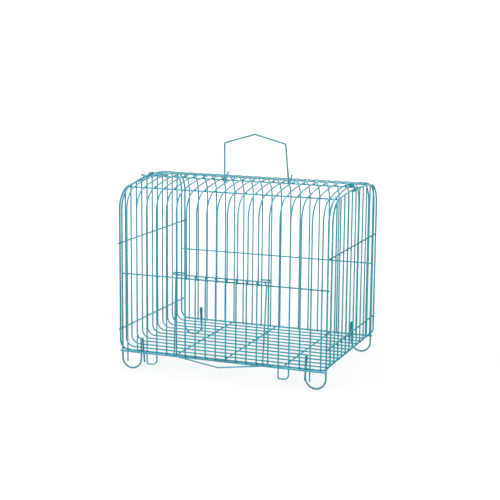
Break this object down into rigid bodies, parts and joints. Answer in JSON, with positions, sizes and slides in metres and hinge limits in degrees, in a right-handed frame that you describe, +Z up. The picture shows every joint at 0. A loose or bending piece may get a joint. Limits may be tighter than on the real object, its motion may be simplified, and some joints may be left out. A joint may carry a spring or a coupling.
{
  "type": "bird travel carrier",
  "caption": "Arched all-wire travel cage for a small bird, with a lift-up sliding door, folding carry handle, side latches and wire feet.",
  "frame": {"origin": "on the ground under the middle of the cage's bars, between the four feet", "axes": "+X to the right of the door, -Y on the door side, +Z up"},
  "size_m": [0.3266, 0.2312, 0.3232],
  "materials": {
    "painted_wire": "turquoise gloss coat over steel wire",
    "door_wire": "turquoise gloss coat over steel wire",
    "handle_wire": "turquoise gloss coat over steel wire, rubbed at the bends",
    "latch_wire": "turquoise gloss coat over steel wire"
  },
  "bodies": {
    "cage": {"left_hoop": "painted_wire", "right_hoop": "painted_wire", "front_left_foot": "painted_wire", "front_right_foot": "painted_wire", "back_left_foot": "painted_wire", "back_right_foot": "painted_wire", "left_prong_bar": "painted_wire", "left_hook_bar": "painted_wire", "right_hook_bar": "painted_wire", "right_prong_bar": "painted_wire", "left_bars": "painted_wire", "centre_bars": "painted_wire", "right_bars": "painted_wire", "front_middle_rod": "painted_wire", "back_middle_rod": "painted_wire", "roof_front_rod": "painted_wire", "roof_middle_rod": "painted_wire", "roof_back_rod": "painted_wire", "front_bottom_rod": "painted_wire", "back_bottom_rod": "painted_wire", "front_edge_wire": "painted_wire", "back_edge_wire": "painted_wire", "floor_bars": "painted_wire", "left_side_arch": "painted_wire", "right_side_arch": "painted_wire", "left_lower_rod": "painted_wire", "left_upper_rod": "painted_wire", "right_lower_rod": "painted_wire", "right_upper_rod": "painted_wire", "floor_left_rod": "painted_wire", "floor_middle_rod": "painted_wire", "floor_right_rod": "painted_wire"},
    "door": {"door_top_rod": "door_wire", "door_left_wire": "door_wire", "door_right_wire": "door_wire", "door_bars": "door_wire", "door_bottom_rod": "door_wire", "door_lip": "door_wire"},
    "handle": {"carry_handle": "handle_wire"},
    "left_latch": {"left_latch": "latch_wire"},
    "right_latch": {"right_latch": "latch_wire"}
  },
  "joints": [
    {"name": "door_slide", "type": "slide", "parent": "cage", "child": "door", "axis": [0, 0, 1], "range_m": [0, 0.079]},
    {"name": "handle_fold", "type": "hinge", "parent": "cage", "child": "handle", "pos_m": [0, -0.012, 0.25697], "axis": [1, 0, 0], "range_deg": [-85, 85]},
    {"name": "left_latch_turn", "type": "hinge", "parent": "cage", "child": "left_latch", "pos_m": [-0.1472, -0.012, 0.2592], "axis": [0, 1, 0], "range_deg": [0, 115]},
    {"name": "right_latch_turn", "type": "hinge", "parent": "cage", "child": "right_latch", "pos_m": [0.1472, -0.012, 0.2592], "axis": [0, -1, 0], "range_deg": [0, 115]}
  ]
}
